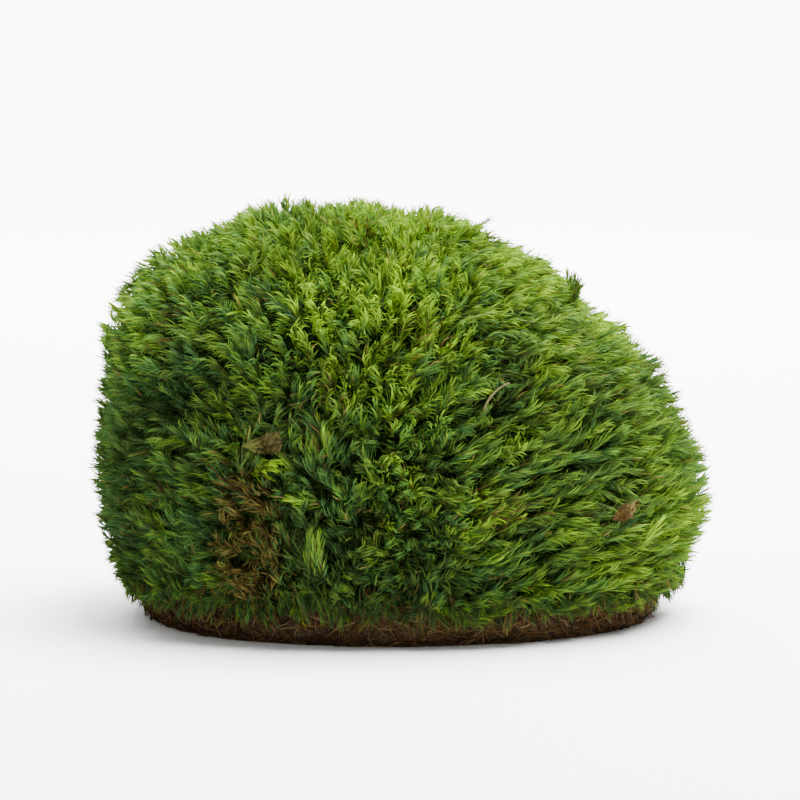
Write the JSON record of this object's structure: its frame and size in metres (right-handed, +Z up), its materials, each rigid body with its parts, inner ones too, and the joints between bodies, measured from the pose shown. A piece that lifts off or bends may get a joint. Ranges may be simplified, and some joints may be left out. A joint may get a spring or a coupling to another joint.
{
  "type": "moss clump",
  "caption": "Domed cushion of close-set, outward-growing moss shoots on a flat mat of dead stems, with bits of dry litter caught in it.",
  "frame": {"origin": "middle of the clump's footprint box, at the height of the cut underside that it rests on", "axes": "+Z up; +X to the right as the clump is seen from its front, along its longest side, towards the long slope; +Y towards the back"},
  "size_m": [0.1338, 0.1118, 0.089],
  "materials": {
    "living_moss": "soft, matt, fibrous living green; every shoot a tuft of fine pointed leaves",
    "dead_stems": "felted dark brown mat of dead stems and humus, dull",
    "straw": "dry pale straw, slight sheen",
    "rust_leaf": "dry rust-red dead leaf, papery",
    "brown_leaf": "dry brown dead leaf, papery"
  },
  "bodies": {
    "root": {"moss_cushion": "living_moss", "stem_mat": "dead_stems", "dry_needle": "straw", "leaf_scrap_rust": "rust_leaf", "leaf_scrap_brown": "brown_leaf"}
  },
  "joints": []
}
